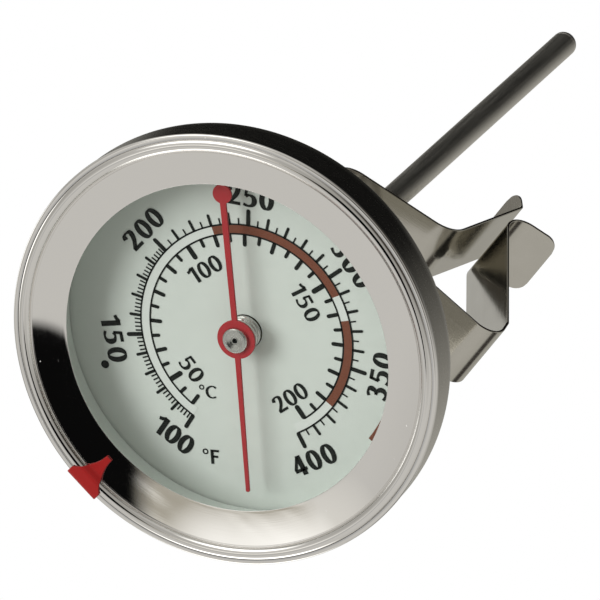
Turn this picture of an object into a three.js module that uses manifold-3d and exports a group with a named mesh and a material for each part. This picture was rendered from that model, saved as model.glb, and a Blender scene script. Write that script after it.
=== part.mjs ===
// Dial thermometer with a pan clip, for brewing and candy making: a stainless case with a
// glazed dial, a long probe stem that holds a bimetal helix, a spring clip that grips the
// wall of a pan, and a set marker that slides round the rim.
//
// Millimetres, +Z up and out of the dial, +X from the stem towards the pan wall. The origin
// is on the flat face of the clip's inner jaw, where the pan wall bears. The pieces are
// drawn about the stem's axis with z = 0 at the bezel's opening, then moved there together.

import * as THREE from 'three';
import { mergeVertices } from 'three/addons/utils/BufferGeometryUtils.js';
import Module from 'manifold-3d';

const wasm = await Module();
wasm.setup();

// ---- driving dimensions -------------------------------------------------------------

const GAP = 0.3; // left wherever two pieces touch
const ROUND = 64; // facets round the case
const FINE = 24; // facets round the stem and its small fittings

// case and bezel
const OPENING_R = 25.4;
const FLANGE_R = 30.7;
const FLANGE_RISE = 0.75;
const BEAD_TOP = 1.5;
const FLANGE_HEM = 0.55; // down from the opening's edge
const BEZEL_SHEET = 0.5;
const BEAD_FOOT = 0.3; // the bead's start outside the flange
const BEAD_FOOT_Z = 0.6;
const BEAD_INNER_BEND = 0.4;
const BEAD_OUTER_BEND = 0.6;
const BEZEL_R = 32.4;
const BEZEL_SKIRT = 3.0;
const CASE_R = 33.3;
const LIP_R = 33.5;
const LIP_BOTTOM = 0.5;
const LIP_TOP = 1.08;
const LIP_EASE = 0.25;
const EDGE_EASE = 0.12;
const CASE_DEPTH = 10.4;
const CASE_CORNER = 7.0;
const CASE_WALL = 0.6;

// window and dial
const GLASS_R = 28.9;
const GLASS_TOP = -0.95;
const GLASS_THICK = 1.5;
const GASKET_WIDTH = 1.2;
const SURROUND_IN = 28.0;
const SURROUND_OUT = 30.6;
const DIAL_R = 30.3;
const DIAL_TOP = -7.3;
const DIAL_THICK = 0.5;
const LOCATING_HOLE_R = 0.7;
const LOCATING_HOLE_AT = 24.1;
const LOCATING_HOLE_AZIMUTH = -123.5;

// bushing that joins the case and the stem
const NECK_R = 2.6;
const NECK_TOP = -4.5;
const NECK_BORE = 1.35;
const THREAD_DEPTH = 0.3;
const THREAD_PITCH = 0.7;
const THREAD_FLANK = 0.35; // share of the pitch from root to crest
const THREAD_CREST = 0.4; // share of the pitch that the crest takes
const FLANGE_BUSH_R = 5.0;
const FLANGE_BUSH_THICK = 1.2;
const COLLAR_R = 3.2;
const COLLAR_END = -14.6;
const WASHER_THICK = 0.4;
const SOCKET_CLEAR = 0.35; // round the stem, for solder
const SOCKET_WEB = 0.5; // between the flange and the socket's end
const NUT_ACROSS_FLATS = 8.0;
const NUT_THICK = 1.4;

// stem and what turns in it
const STEM_R = 2.0;
const STEM_BORE = 1.65;
const STEM_END = -139.7;
const PLUG_HEAD = 1.3;
const PLUG_SPIGOT = 3.0;
const PLUG_FLAT_R = 0.5;
const SPINDLE_R = 0.4;
const SPINDLE_CLEAR = 0.1; // over the helix's top
const BEARING_BORE = 0.5;
const UPPER_BEARING_LENGTH = 1.4;
const UPPER_BEARING_INSET = 0.2;
const LOWER_BEARING_LENGTH = 2.0;
const LOWER_BEARING_RISE = 5.0; // above the helix
const COIL_TOP = -96.5;
const COIL_TURNS = 14;
const COIL_PITCH = 2.4;
const COIL_OUT = 1.25;
const COIL_THICK = 0.3;
const COIL_STRIP = 1.8;
const COIL_COLLAR_BORE = 0.65;
const COIL_COLLAR_LENGTH = 1.2;

// pointer, which stands at room temperature
const POINTER_TOP = -3.7;
const POINTER_THICK = 0.4;
const POINTER_TIP = 23.6;
const POINTER_TIP_WIDTH = 0.65;
const POINTER_ROOT_WIDTH = 1.0;
const POINTER_EYE_R = 3.0;
const TAIL_LENGTH = 22.6;
const TAIL_BALL_R = 1.5;
const HUB_HEAD_R = 1.95;
const HUB_BARREL_R = 0.95;
const HUB_BORE = 0.63;
const HUB_RISE = 0.7;
const HUB_EASE = 0.2;
const SPINDLE_INSET = 0.15; // below the hub's top
const POINTER_AZIMUTH = -49.6;

// set marker
const MARKER_AZIMUTH = -96.6;
const MARKER_THICK = 0.35;
const MARKER_CLEAR = 0.15;
const MARKER_WIDTH = 5.8;
const MARKER_NOSE_R = 27.3;
const MARKER_NOSE_WIDTH = 1.1;
const MARKER_SHOULDER = 0.2; // inside the bezel's rim, where it reaches full width
const MARKER_BEND = 0.9;
const MARKER_WRAP = 42; // degrees that its hook follows the case's back corner

// clip, as a strip bent through corners of [x, z, bend radius]
const STRIP_WIDTH = 11.3;
const STRIP_THICK = 0.4;
const STEM_HOLE_R = 2.12;
const FLARE_CORNER = 1.6;
const TAB_CORNER = 2.2;
const LOOP_TOP = -44.5;
const CLIP_CORNERS = [
  [26.35, -50.7, 0],
  [27.05, LOOP_TOP, 3.6],
  [-8.0, LOOP_TOP, 4.3],
  [-8.0, -54.45, 4.3],
  [10.85, -59.95, 5.5],
  [15.1, -80.1, 0.9],
  [12.55, -84.3, 0],
];
const OUTER_JAW_CORNERS = [
  [26.2, -51.05, 0],
  [13.9, -76.7, 4.0],
  [23.1, -79.4, 0],
];
const JAW_ROOT = CLIP_CORNERS[4];
const JAW_TIP = CLIP_CORNERS[5];
const JAW_POINT = 0.6; // how far down the inner jaw the pan wall bears

// ---- colours ------------------------------------------------------------------------

const finish = (color, roughness, metalness) =>
  new THREE.MeshStandardMaterial({ color, roughness, metalness });

const POLISHED = finish(0xc8c5be, 0.15, 1);
const SATIN = finish(0x8f8b82, 0.4, 1);
const SPRING = finish(0x8d8a80, 0.35, 1);
const BRASS = finish(0xb59a5a, 0.35, 1);
const BIMETAL = finish(0xa08f78, 0.4, 1);
const DIAL_WHITE = finish(0xc8d0ca, 0.5, 0);
const PLASTIC_WHITE = finish(0xdfe3de, 0.5, 0);
const RUBBER = finish(0x202020, 0.9, 0);
const POINTER_RED = finish(0xa52d32, 0.5, 0);
const MARKER_RED = finish(0xaf1e20, 0.4, 0);
const GLASS = new THREE.MeshStandardMaterial({
  color: 0xe8f0ec,
  roughness: 0.05,
  transparent: true,
  opacity: 0.25,
});

// ---- shape helpers ------------------------------------------------------------------

const radians = THREE.MathUtils.degToRad;

// A solid for cutting and joining, from a closed geometry.
function solidOf(geometry) {
  const bare = geometry.clone();
  bare.deleteAttribute('normal');
  bare.deleteAttribute('uv');
  const merged = mergeVertices(bare, 1e-4);
  const vertProperties = new Float32Array(merged.attributes.position.array);
  const triVerts = new Uint32Array(merged.index.array);
  return new wasm.Manifold(new wasm.Mesh({ numProp: 3, vertProperties, triVerts }));
}

function geometryOf(solid) {
  const mesh = solid.getMesh();
  const geometry = new THREE.BufferGeometry();
  geometry.setAttribute('position', new THREE.BufferAttribute(mesh.vertProperties, 3));
  geometry.setIndex(new THREE.BufferAttribute(mesh.triVerts, 1));
  return geometry;
}

function signedArea(outline) {
  let twice = 0;
  outline.forEach(([x, y], i) => {
    const [nextX, nextY] = outline[(i + 1) % outline.length];
    twice += x * nextY - nextX * y;
  });
  return twice / 2;
}

// A body turned about Z from an outline of [radius, z]. An outline that stays off the axis
// is closed on itself.
function turned(outline, facets) {
  const run = signedArea(outline) > 0 ? [...outline] : [...outline].reverse();
  const offAxis = run.every(([r]) => r > 0);
  if (offAxis) run.push(run[0]);
  const points = run.map(([r, z]) => new THREE.Vector2(r, z));
  return new THREE.LatheGeometry(points, facets).rotateX(Math.PI / 2);
}

function ring(inner, outer, bottom, top, facets) {
  return turned([[inner, bottom], [outer, bottom], [outer, top], [inner, top]], facets);
}

// Points [x, y] along an arc, both ends included, with angles in degrees.
function arc(centreX, centreY, radius, from, to, steps) {
  const points = [];
  for (let i = 0; i <= steps; i += 1) {
    const angle = radians(from + ((to - from) * i) / steps);
    points.push([centreX + radius * Math.cos(angle), centreY + radius * Math.sin(angle)]);
  }
  return points;
}

function shapeOf(outline) {
  return new THREE.Shape(outline.map(([x, y]) => new THREE.Vector2(x, y)));
}

function circle(x, y, radius, facets) {
  const points = arc(x, y, radius, 0, 360, facets);
  points.pop();
  return points;
}

// A flat plate that lies between two heights.
function plate(shape, bottom, top) {
  const options = { depth: top - bottom, bevelEnabled: false };
  return new THREE.ExtrudeGeometry(shape, options).translate(0, 0, bottom);
}

// The centre line of a bent strip: straight runs joined by an arc at each corner.
function bentLine(corners) {
  const line = [];
  corners.forEach(([x, y, radius], i) => {
    const here = new THREE.Vector2(x, y);
    if (!radius) {
      line.push(here);
      return;
    }
    const before = new THREE.Vector2(...corners[i - 1]).sub(here).normalize();
    const after = new THREE.Vector2(...corners[i + 1]).sub(here).normalize();
    const half = Math.acos(before.dot(after)) / 2;
    const middle = before.clone().add(after).normalize();
    const centre = here.clone().addScaledVector(middle, radius / Math.sin(half));
    const start = here.clone().addScaledVector(before, radius / Math.tan(half)).sub(centre);
    const turn = (Math.PI - 2 * half) * Math.sign(before.cross(after));
    const steps = Math.ceil(Math.abs(turn) / radians(14));
    for (let k = 0; k <= steps; k += 1) {
      const spoke = start.clone().rotateAround(new THREE.Vector2(), (-turn * k) / steps);
      line.push(spoke.add(centre));
    }
  });
  return line;
}

// The outline of a strip of a given thickness, centred on a line.
function stripOutline(line, thickness) {
  const side = (sign) =>
    line.map((point, i) => {
      const back = line[Math.max(i - 1, 0)];
      const ahead = line[Math.min(i + 1, line.length - 1)];
      const along = ahead.clone().sub(back).normalize();
      const offset = (sign * thickness) / 2;
      return [point.x - along.y * offset, point.y + along.x * offset];
    });
  return [...side(1), ...side(-1).reverse()];
}

// A bent strip standing in the XZ plane, with its width along Y.
function bentStrip(corners, thickness, width) {
  const shape = shapeOf(stripOutline(bentLine(corners), thickness));
  return plate(shape, 0, width).rotateX(Math.PI / 2).translate(0, width / 2, 0);
}

// Rounds off the two corners at the free end of a strip.
function roundedEnd(strip, from, end, radius) {
  const along = new THREE.Vector3(end[0] - from[0], 0, end[1] - from[1]).normalize();
  let result = strip;
  for (const sign of [1, -1]) {
    const across = new THREE.Vector3(0, sign, 0);
    const normal = new THREE.Vector3().crossVectors(along, across);
    const edge = STRIP_WIDTH / 2;
    const outline = arc(-radius, edge - radius, radius, 90, 0, 5);
    outline.push([1, edge - radius], [1, edge + 1], [-radius, edge + 1]);
    const basis = new THREE.Matrix4().makeBasis(along, across, normal);
    basis.setPosition(end[0], 0, end[1]);
    const cutter = plate(shapeOf(outline), -2, 2).applyMatrix4(basis);
    result = result.subtract(solidOf(cutter));
  }
  return result;
}

function piece(name, geometry, material) {
  const mesh = new THREE.Mesh(geometry, material);
  mesh.name = name;
  return mesh;
}

// ---- case, bezel and window ---------------------------------------------------------

function caseShell() {
  const cornerR = CASE_R - CASE_CORNER;
  const cornerZ = CASE_CORNER - CASE_DEPTH;
  const innerR = CASE_R - CASE_WALL;
  const hole = NECK_R + GAP;
  return turned(
    [
      [hole, -CASE_DEPTH],
      ...arc(cornerR, cornerZ, CASE_CORNER, -90, 0, 7),
      [CASE_R, LIP_BOTTOM - LIP_EASE],
      [LIP_R, LIP_BOTTOM],
      [LIP_R, LIP_TOP - LIP_EASE],
      [LIP_R - LIP_EASE, LIP_TOP],
      [innerR, LIP_TOP],
      ...arc(cornerR, cornerZ, CASE_CORNER - CASE_WALL, 0, -90, 7),
      [hole, CASE_WALL - CASE_DEPTH],
    ],
    ROUND,
  );
}

// The polished flange slopes out to a fine step, then rolls over in a bead whose skirt
// goes down inside the case.
function bezelRing() {
  const skirtIn = BEZEL_R - BEZEL_SHEET;
  const footR = FLANGE_R + BEAD_FOOT;
  const inner = [footR + BEAD_INNER_BEND, BEAD_TOP - BEAD_INNER_BEND];
  const outer = [BEZEL_R - BEAD_OUTER_BEND, BEAD_TOP - BEAD_OUTER_BEND];
  return turned(
    [
      [OPENING_R, -FLANGE_HEM],
      [OPENING_R, -EDGE_EASE],
      [OPENING_R + EDGE_EASE, 0],
      [FLANGE_R - EDGE_EASE, FLANGE_RISE],
      [FLANGE_R, BEAD_FOOT_Z],
      [footR, BEAD_FOOT_Z],
      ...arc(...inner, BEAD_INNER_BEND, 180, 90, 3),
      ...arc(...outer, BEAD_OUTER_BEND, 90, 0, 4),
      [BEZEL_R, -BEZEL_SKIRT],
      [skirtIn, -BEZEL_SKIRT],
      [skirtIn, BEAD_FOOT_Z],
      [footR, FLANGE_RISE - BEZEL_SHEET],
      [OPENING_R + EDGE_EASE, -FLANGE_HEM],
    ],
    ROUND,
  );
}

function lensGlass() {
  const bottom = GLASS_TOP - GLASS_THICK;
  const disc = [[0, bottom], [GLASS_R, bottom], [GLASS_R, GLASS_TOP], [0, GLASS_TOP]];
  return turned(disc, ROUND);
}

function lensGasket() {
  const inner = GLASS_R + GAP;
  return ring(inner, inner + GASKET_WIDTH, GLASS_TOP - GLASS_THICK, GLASS_TOP, ROUND);
}

function dialSurround() {
  const top = GLASS_TOP - GLASS_THICK - GAP;
  return ring(SURROUND_IN, SURROUND_OUT, DIAL_TOP + GAP, top, ROUND);
}

function dialPlate() {
  const shape = shapeOf(circle(0, 0, DIAL_R, ROUND));
  const azimuth = radians(LOCATING_HOLE_AZIMUTH);
  const holeX = LOCATING_HOLE_AT * Math.cos(azimuth);
  const holeY = LOCATING_HOLE_AT * Math.sin(azimuth);
  shape.holes.push(shapeOf(circle(0, 0, NECK_R + GAP, FINE)));
  shape.holes.push(shapeOf(circle(holeX, holeY, LOCATING_HOLE_R, 12)));
  return plate(shape, DIAL_TOP - DIAL_THICK, DIAL_TOP);
}

// ---- bushing between the case and the stem ------------------------------------------

const WASHER_TOP = -CASE_DEPTH - GAP;
const FLANGE_BUSH_TOP = WASHER_TOP - WASHER_THICK - GAP;
const SOCKET_TOP = FLANGE_BUSH_TOP - SOCKET_WEB;
const STEM_TOP = SOCKET_TOP - GAP;

// Its threaded neck goes up through the case and the dial, and the stem sits in its socket.
function stemBushing() {
  const flangeBottom = FLANGE_BUSH_TOP - FLANGE_BUSH_THICK;
  const socket = STEM_R + SOCKET_CLEAR;
  const root = NECK_R - THREAD_DEPTH;
  const thread = [];
  for (let z = DIAL_TOP; z + THREAD_PITCH < NECK_TOP; z += THREAD_PITCH) {
    const crest = z + THREAD_PITCH * THREAD_FLANK;
    thread.push([root, z], [NECK_R, crest], [NECK_R, crest + THREAD_PITCH * THREAD_CREST]);
  }
  return turned(
    [
      [socket, COLLAR_END],
      [COLLAR_R, COLLAR_END],
      [COLLAR_R, flangeBottom],
      [FLANGE_BUSH_R, flangeBottom],
      [FLANGE_BUSH_R, FLANGE_BUSH_TOP],
      [NECK_R, FLANGE_BUSH_TOP],
      ...thread,
      [root, NECK_TOP],
      [NECK_BORE, NECK_TOP],
      [NECK_BORE, SOCKET_TOP],
      [socket, SOCKET_TOP],
    ],
    FINE,
  );
}

function backWasher() {
  return ring(NECK_R + GAP, FLANGE_BUSH_R, WASHER_TOP - WASHER_THICK, WASHER_TOP, FINE);
}

function bushingNut() {
  const corner = NUT_ACROSS_FLATS / 2 / Math.cos(Math.PI / 6);
  const shape = shapeOf(circle(0, 0, corner, 6));
  shape.holes.push(shapeOf(circle(0, 0, NECK_R + GAP, FINE)));
  const bottom = CASE_WALL - CASE_DEPTH + GAP;
  return plate(shape, bottom, bottom + NUT_THICK);
}

// ---- stem and bimetal movement ------------------------------------------------------

const COIL_END = COIL_TOP - COIL_TURNS * COIL_PITCH;

function stemTube() {
  const bottom = STEM_END + PLUG_HEAD + GAP;
  return ring(STEM_BORE, STEM_R, bottom, STEM_TOP, FINE);
}

// Closes the stem's end with a rounded nose that has a small flat.
function tipPlug() {
  const shoulder = STEM_END + PLUG_HEAD;
  const spigot = STEM_BORE - GAP;
  const nose = arc(0, 0, 1, -90, 0, 5);
  const rounded = nose.map(([x, z]) => [
    PLUG_FLAT_R + x * (STEM_R - PLUG_FLAT_R),
    shoulder + z * PLUG_HEAD,
  ]);
  const top = shoulder + PLUG_SPIGOT;
  return turned([[0, STEM_END], ...rounded, [spigot, shoulder], [spigot, top], [0, top]], FINE);
}

// A flat strip wound into a helix, set on edge so that its thickness is radial.
function bimetalCoil() {
  const perTurn = 12;
  const steps = COIL_TURNS * perTurn;
  const rise = (COIL_TOP - COIL_END - COIL_STRIP) / steps;
  const bottom = -COIL_STRIP / 2;
  const section = [
    [COIL_OUT - COIL_THICK, bottom],
    [COIL_OUT, bottom],
    [COIL_OUT, -bottom],
    [COIL_OUT - COIL_THICK, -bottom],
  ];
  const positions = [];
  const indices = [];
  for (let i = 0; i <= steps; i += 1) {
    const angle = (i / perTurn) * 2 * Math.PI;
    const height = COIL_END - bottom + i * rise;
    for (const [r, z] of section) {
      positions.push(r * Math.cos(angle), r * Math.sin(angle), height + z);
    }
  }
  for (let i = 0; i < steps; i += 1) {
    for (let k = 0; k < 4; k += 1) {
      const a = i * 4 + k;
      const b = i * 4 + ((k + 1) % 4);
      indices.push(a, a + 4, b, b, a + 4, b + 4);
    }
  }
  const last = steps * 4;
  indices.push(0, 1, 2, 0, 2, 3, last, last + 2, last + 1, last, last + 3, last + 2);
  const geometry = new THREE.BufferGeometry();
  geometry.setAttribute('position', new THREE.Float32BufferAttribute(positions, 3));
  geometry.setIndex(indices);
  return geometry;
}

function coilAnchor() {
  const top = COIL_END - GAP;
  const radius = STEM_BORE - GAP;
  const bottom = STEM_END + PLUG_HEAD + PLUG_SPIGOT + GAP;
  return turned([[0, bottom], [radius, bottom], [radius, top], [0, top]], FINE);
}

function coilCollar() {
  const bottom = COIL_TOP + GAP;
  return ring(COIL_COLLAR_BORE, COIL_OUT, bottom, bottom + COIL_COLLAR_LENGTH, FINE);
}

function upperBearing() {
  const top = NECK_TOP - UPPER_BEARING_INSET;
  return ring(BEARING_BORE, NECK_BORE - GAP, top - UPPER_BEARING_LENGTH, top, FINE);
}

function lowerBearing() {
  const bottom = COIL_TOP + LOWER_BEARING_RISE;
  return ring(BEARING_BORE, STEM_BORE - GAP, bottom, bottom + LOWER_BEARING_LENGTH, FINE);
}

// ---- pointer ------------------------------------------------------------------------

const HUB_TOP = POINTER_TOP + HUB_RISE;

function spindle() {
  const top = HUB_TOP - SPINDLE_INSET;
  const bottom = COIL_TOP + SPINDLE_CLEAR;
  return turned([[0, bottom], [SPINDLE_R, bottom], [SPINDLE_R, top], [0, top]], FINE);
}

// A thin tip on one side of the eye and a tail with a flat ball on the other.
function pointerNeedle() {
  const bottom = POINTER_TOP - POINTER_THICK;
  const flat = (outline) => solidOf(plate(shapeOf(outline), bottom, POINTER_TOP));
  const root = POINTER_ROOT_WIDTH / 2;
  const end = POINTER_TIP_WIDTH / 2;
  const arm = [[-TAIL_LENGTH, -root], [0, -root], [POINTER_TIP, -end], [POINTER_TIP, end], [0, root]];
  const eye = flat(circle(0, 0, POINTER_EYE_R, 32));
  const ball = flat(circle(-TAIL_LENGTH, 0, TAIL_BALL_R, 20));
  const drill = shapeOf(circle(0, 0, HUB_BARREL_R + GAP, FINE));
  const hole = solidOf(plate(drill, bottom - 1, POINTER_TOP + 1));
  const blank = flat([...arm, [-TAIL_LENGTH, root]]).add(eye).add(ball);
  return geometryOf(blank.subtract(hole));
}

// A rivet through the pointer's eye that grips the top of the spindle.
function pointerHub() {
  const under = POINTER_TOP + GAP;
  return turned(
    [
      [HUB_BORE, POINTER_TOP - POINTER_THICK],
      [HUB_BARREL_R, POINTER_TOP - POINTER_THICK],
      [HUB_BARREL_R, under],
      [HUB_HEAD_R, under],
      [HUB_HEAD_R, HUB_TOP - HUB_EASE],
      [HUB_HEAD_R - HUB_EASE, HUB_TOP],
      [HUB_BORE, HUB_TOP],
    ],
    FINE,
  );
}

// ---- set marker ---------------------------------------------------------------------

// A strip that lies on the bezel, turns down over the rim and hooks under the case's back
// corner, cut to a plan that narrows from the rim to a thin nose.
function setMarker() {
  const clear = MARKER_CLEAR + MARKER_THICK / 2;
  const wrapR = CASE_CORNER + clear;
  const cornerR = CASE_R - CASE_CORNER;
  const cornerZ = CASE_CORNER - CASE_DEPTH;
  const slope = FLANGE_RISE / (FLANGE_R - OPENING_R);
  const outside = LIP_R + clear;
  const hook = arc(cornerR, cornerZ, wrapR, 0, -MARKER_WRAP, 4);
  const corners = [
    [MARKER_NOSE_R, (MARKER_NOSE_R - OPENING_R) * slope + clear, 0],
    [FLANGE_R - BEAD_INNER_BEND, FLANGE_RISE + clear, 0],
    [FLANGE_R + BEAD_INNER_BEND, BEAD_TOP + clear, 0],
    [outside, BEAD_TOP + clear, MARKER_BEND],
    ...hook.map(([x, z]) => [x, z, 0]),
  ];
  const strip = solidOf(bentStrip(corners, MARKER_THICK, MARKER_WIDTH + 1));
  const plan = new THREE.Shape();
  const nose = MARKER_NOSE_WIDTH / 2;
  const wide = MARKER_WIDTH / 2;
  const far = LIP_R + 3;
  const waist = FLANGE_R + BEAD_FOOT;
  const shoulder = BEZEL_R - MARKER_SHOULDER;
  plan.moveTo(MARKER_NOSE_R - 1, -nose);
  plan.lineTo(MARKER_NOSE_R, -nose);
  plan.quadraticCurveTo(waist, -nose, shoulder, -wide);
  plan.lineTo(far, -wide);
  plan.lineTo(far, wide);
  plan.lineTo(shoulder, wide);
  plan.quadraticCurveTo(waist, nose, MARKER_NOSE_R, nose);
  plan.lineTo(MARKER_NOSE_R - 1, nose);
  const options = { depth: 20, bevelEnabled: false, curveSegments: 6 };
  const cutter = new THREE.ExtrudeGeometry(plan, options).translate(0, 0, -15);
  return geometryOf(strip.intersect(solidOf(cutter)));
}

// ---- pan clip -----------------------------------------------------------------------

function stemHole() {
  const length = 30;
  const drill = new THREE.CylinderGeometry(STEM_HOLE_R, STEM_HOLE_R, length, FINE);
  return solidOf(drill.rotateX(Math.PI / 2).translate(0, 0, LOOP_TOP));
}

// The strip from the loop, across the stem, round the bend, back across the stem and down
// the inner jaw to its flare.
function panClip() {
  const strip = solidOf(bentStrip(CLIP_CORNERS, STRIP_THICK, STRIP_WIDTH));
  const [flareFrom, flareEnd] = CLIP_CORNERS.slice(-2);
  return geometryOf(roundedEnd(strip.subtract(stemHole()), flareFrom, flareEnd, FLARE_CORNER));
}

// The rest of the strip, which springs away from the inner jaw as the pan wall goes in.
function clipOuterJaw() {
  const strip = solidOf(bentStrip(OUTER_JAW_CORNERS, STRIP_THICK, STRIP_WIDTH));
  const [tabFrom, tabEnd] = OUTER_JAW_CORNERS.slice(-2);
  return geometryOf(roundedEnd(strip, tabFrom, tabEnd, TAB_CORNER));
}

// ---- assembly -----------------------------------------------------------------------

function assembly(parts, azimuth = 0) {
  const group = new THREE.Group();
  group.rotation.z = radians(azimuth);
  group.add(...parts);
  return group;
}

const head = assembly([
  piece('case_shell', caseShell(), SATIN),
  piece('bezel_ring', bezelRing(), POLISHED),
  piece('lens_glass', lensGlass(), GLASS),
  piece('lens_gasket', lensGasket(), RUBBER),
  piece('dial_surround', dialSurround(), PLASTIC_WHITE),
  piece('dial_plate', dialPlate(), DIAL_WHITE),
  piece('stem_bushing', stemBushing(), SATIN),
  piece('back_washer', backWasher(), RUBBER),
  piece('bushing_nut', bushingNut(), BRASS),
  piece('upper_bearing', upperBearing(), BRASS),
  piece('lower_bearing', lowerBearing(), BRASS),
  piece('bimetal_coil', bimetalCoil(), BIMETAL),
  piece('coil_anchor', coilAnchor(), BRASS),
]);

const stem = assembly([
  piece('stem_tube', stemTube(), SATIN),
  piece('tip_plug', tipPlug(), SATIN),
]);

const pointer = assembly(
  [
    piece('pointer_needle', pointerNeedle(), POINTER_RED),
    piece('pointer_hub', pointerHub(), POLISHED),
    piece('spindle', spindle(), SATIN),
    piece('coil_collar', coilCollar(), BRASS),
  ],
  POINTER_AZIMUTH,
);

const marker = assembly([piece('set_marker', setMarker(), MARKER_RED)], MARKER_AZIMUTH);

const clip = assembly([
  piece('pan_clip', panClip(), SPRING),
  piece('clip_outer_jaw', clipOuterJaw(), SPRING),
]);

// The inner jaw's flat face, part of the way down it, comes to the origin.
const jaw = new THREE.Vector2(JAW_TIP[0] - JAW_ROOT[0], JAW_TIP[1] - JAW_ROOT[1]);
const jawNormal = new THREE.Vector2(-jaw.y, jaw.x).normalize();
const originX = JAW_ROOT[0] + jaw.x * JAW_POINT + (jawNormal.x * STRIP_THICK) / 2;
const originZ = JAW_ROOT[1] + jaw.y * JAW_POINT + (jawNormal.y * STRIP_THICK) / 2;

const thermometer = new THREE.Group();
thermometer.add(head, stem, pointer, marker, clip);
thermometer.position.set(-originX, 0, -originZ);

export default thermometer;
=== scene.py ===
"""Dial thermometer with a pan clip: fine surfaces, printed dial and materials around the CAD frame.

Sizes are in millimetres about the stem's axis, with z = 0 at the bezel's opening, and are turned
into metres where a mesh is made.
"""
import math

import bmesh
import bpy
from mathutils import Matrix, Vector


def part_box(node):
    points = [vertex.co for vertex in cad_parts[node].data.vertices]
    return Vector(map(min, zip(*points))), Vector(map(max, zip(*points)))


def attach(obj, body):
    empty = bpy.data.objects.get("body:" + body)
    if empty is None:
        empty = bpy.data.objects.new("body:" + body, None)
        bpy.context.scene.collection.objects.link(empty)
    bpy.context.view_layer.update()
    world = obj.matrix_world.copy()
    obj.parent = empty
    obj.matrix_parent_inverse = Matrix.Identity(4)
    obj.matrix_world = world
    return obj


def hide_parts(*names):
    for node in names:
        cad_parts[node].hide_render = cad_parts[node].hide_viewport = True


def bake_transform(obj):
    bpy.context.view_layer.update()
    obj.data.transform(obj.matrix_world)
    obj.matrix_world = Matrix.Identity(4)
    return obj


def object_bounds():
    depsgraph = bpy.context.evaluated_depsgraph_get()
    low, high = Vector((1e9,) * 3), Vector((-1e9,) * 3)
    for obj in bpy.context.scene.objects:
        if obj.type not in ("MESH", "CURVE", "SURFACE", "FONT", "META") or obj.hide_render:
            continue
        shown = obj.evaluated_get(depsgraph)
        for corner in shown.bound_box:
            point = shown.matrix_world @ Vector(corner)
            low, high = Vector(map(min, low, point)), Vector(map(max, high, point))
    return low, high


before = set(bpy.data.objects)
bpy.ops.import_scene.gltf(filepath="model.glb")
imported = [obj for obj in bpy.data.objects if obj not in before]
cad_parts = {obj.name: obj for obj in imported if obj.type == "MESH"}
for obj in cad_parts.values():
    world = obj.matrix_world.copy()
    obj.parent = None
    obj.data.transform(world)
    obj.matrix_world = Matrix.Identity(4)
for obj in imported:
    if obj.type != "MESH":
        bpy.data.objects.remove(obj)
cad_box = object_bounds()

MM = 0.001

# ---- places, from the frame ----

BEAD_TOP = 1.5  # the bezel's bead above its opening
stem_low, stem_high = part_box("stem_tube")
AXIS_X = (stem_low.x + stem_high.x) / 2
OPENING_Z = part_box("bezel_ring")[1].z - BEAD_TOP * MM
ORIGIN = Vector((AXIS_X, 0, OPENING_Z))


def level(node, end):
    """The height of a node's low (0) or high (1) end, in millimetres from the opening."""
    return (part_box(node)[end].z - OPENING_Z) / MM


def azimuth_of(node):
    """The azimuth of a node's farthest point from the stem's axis, averaged over its rim."""
    points = [v.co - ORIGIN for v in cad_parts[node].data.vertices]
    reach = max(math.hypot(p.x, p.y) for p in points)
    far = [p for p in points if math.hypot(p.x, p.y) > reach - 0.15 * MM]
    return math.degrees(math.atan2(sum(p.y for p in far), sum(p.x for p in far)))


DIAL_TOP = level("dial_plate", 1)
CASE_BACK = level("case_shell", 0)
STEM_END = level("tip_plug", 0)
POINTER_AZIMUTH = azimuth_of("pointer_needle") + 180  # its farthest point is the tail's ball
MARKER_AZIMUTH = azimuth_of("set_marker")

# ---- driving dimensions ----

SEGMENTS = 288
SMALL_SEGMENTS = 96
OPENING_R = 25.4
FLANGE_R = 30.7
FLANGE_RISE = 0.75
BEZEL_R = 32.4
CASE_R = 33.3
LIP_R = 33.5
CASE_CORNER = 7.0
CASE_WALL = 0.6
LIP_TOP = 1.08
BEAD_R = 32.72  # the bead closes onto the shell's lip
BEAD_INSET = 0.2  # the bead's start outside the flange
BEAD_FOOT = 0.78
LIP_START = 0.2  # the shell is polished above this
GLASS_R = 28.9
SURROUND_IN = 28.0
SURROUND_OUT = 30.6
DIAL_R = 30.3
STEM_R = 2.0
STEM_BORE = 1.65
STEM_HOLE_R = 2.12  # in the clip
NECK_R = 2.6
STRIP_WIDTH = 11.3
STRIP_THICK = 0.4

# ---- camera ----

CAMERA_TILT = math.radians(30.685)  # from the stem's axis
CAMERA_ROLL = math.radians(42.188)
CAMERA_AZIMUTH = math.radians(82.6)
CAMERA_DISTANCE = 1459.1
CAMERA_RIGHT = 10.76
CAMERA_UP = 7.10
CAMERA_LENS = 600
CAMERA_SENSOR = 36
CAMERA_CLIP = (0.1, 20)  # metres


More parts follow.
